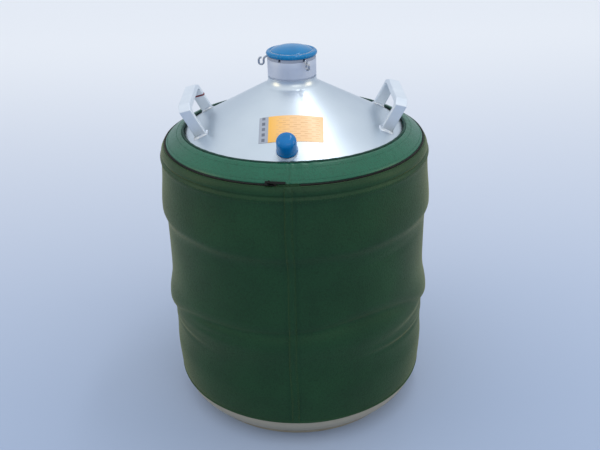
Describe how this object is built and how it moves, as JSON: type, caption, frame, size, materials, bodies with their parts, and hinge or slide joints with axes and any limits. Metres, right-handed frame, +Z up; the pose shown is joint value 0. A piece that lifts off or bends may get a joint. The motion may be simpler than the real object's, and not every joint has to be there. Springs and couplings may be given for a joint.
{
  "type": "liquid nitrogen dewar",
  "caption": "Vacuum-insulated aluminium vessel for liquid nitrogen, narrow neck with lift-off lid and hanging canisters, welded handles, zipped padded jacket.",
  "frame": {"origin": "centre of the foot ring's underside, on the floor", "axes": "+Z up along the neck; -Y is the front with the vacuum port and label; handles at -X and +X"},
  "size_m": [0.4828, 0.4841, 0.6636],
  "materials": {
    "shell_aluminium": "satin",
    "base_aluminium": "matte",
    "neck_aluminium": "satin",
    "handle_aluminium": "satin",
    "weld_aluminium": "gloss",
    "port_aluminium": "satin",
    "vessel_aluminium": "satin",
    "neck_glass_fibre": "satin",
    "index_ring_plastic": "satin",
    "insulation_foil": "polished",
    "adsorbent_cloth": "matte",
    "getter_steel": "satin",
    "locator_plastic": "matte",
    "plug_aluminium": "satin",
    "seal_rubber": "matte",
    "lid_plastic": "gloss",
    "cap_plastic": "gloss",
    "plug_foam": "matte",
    "canister_aluminium": "satin",
    "rod_steel": "satin",
    "jacket_leatherette": "satin",
    "jacket_top_leatherette": "satin",
    "piping_leatherette": "satin",
    "zipper_tape_cloth": "matte",
    "zipper_coil_nylon": "satin",
    "zipper_metal": "satin",
    "label_film": "satin",
    "marker_thread": "matte"
  },
  "bodies": {
    "dewar": {"outer_shell_body": "shell_aluminium", "outer_shell_shoulder": "shell_aluminium", "outer_shell_base": "base_aluminium", "foot_ring": "base_aluminium", "neck_collar": "neck_aluminium", "collar_top_ring": "neck_aluminium", "neck_index_ring": "index_ring_plastic", "neck_tube": "neck_glass_fibre", "neck_lower_ring": "vessel_aluminium", "inner_vessel_upper": "vessel_aluminium", "inner_vessel_lower": "vessel_aluminium", "canister_locator": "locator_plastic", "superinsulation_wrap": "insulation_foil", "adsorbent_pack": "adsorbent_cloth", "hydrogen_getter": "getter_steel", "vacuum_port_tube": "port_aluminium", "vacuum_plug": "plug_aluminium", "vacuum_plug_seal": "seal_rubber", "handle_left": "handle_aluminium", "handle_right": "handle_aluminium", "handle_weld_beads": "weld_aluminium", "handle_marker_band": "marker_thread", "jacket_side_panel": "jacket_leatherette", "jacket_top_panel": "jacket_top_leatherette", "jacket_hem_piping": "piping_leatherette", "jacket_bottom_binding": "jacket_leatherette", "jacket_front_seam": "jacket_leatherette", "zipper_tape": "zipper_tape_cloth", "zipper_coil": "zipper_coil_nylon", "front_label": "label_film"},
    "lid_and_plug": {"lid": "lid_plastic", "neck_plug": "plug_foam"},
    "port_cap": {"vacuum_port_cap": "cap_plastic"},
    "zip_slider": {"zipper_slider": "zipper_metal"},
    "zip_pull": {"zipper_pull": "zipper_metal"},
    "canister_1": {"canister_pail_1": "canister_aluminium", "canister_rod_1": "rod_steel"},
    "canister_2": {"canister_pail_2": "canister_aluminium", "canister_rod_2": "rod_steel"},
    "canister_3": {"canister_pail_3": "canister_aluminium", "canister_rod_3": "rod_steel"}
  },
  "joints": [
    {"name": "lid_lift", "type": "slide", "parent": "dewar", "child": "lid_and_plug", "axis": [0, 0, 1], "range_m": [0, 0.2]},
    {"name": "port_cap_pull", "type": "slide", "parent": "dewar", "child": "port_cap", "axis": [-0.0333, -0.476, 0.8788], "range_m": [0, 0.05]},
    {"name": "zip_travel", "type": "hinge", "parent": "dewar", "child": "zip_slider", "pos_m": [0, 0, 0.48695], "axis": [0, 0, -1], "range_deg": [0, 345]},
    {"name": "pull_tab_flip", "type": "hinge", "parent": "zip_slider", "child": "zip_pull", "pos_m": [-0.04024, -0.22822, 0.51227], "axis": [0.133, 0.7544, 0.6428], "range_deg": [-165, 0]},
    {"name": "canister_1_sway", "type": "hinge", "parent": "dewar", "child": "canister_1", "pos_m": [-0.0229, 0, 0.64565], "axis": [-1, 0, 0], "range_deg": [-1.2, 1.2]},
    {"name": "canister_2_sway", "type": "hinge", "parent": "dewar", "child": "canister_2", "pos_m": [0.01145, -0.01983, 0.64565], "axis": [0.5, -0.866, 0], "range_deg": [-1.2, 1.2]},
    {"name": "canister_3_sway", "type": "hinge", "parent": "dewar", "child": "canister_3", "pos_m": [0.01145, 0.01983, 0.64565], "axis": [0.5, 0.866, 0], "range_deg": [-1.2, 1.2]}
  ]
}
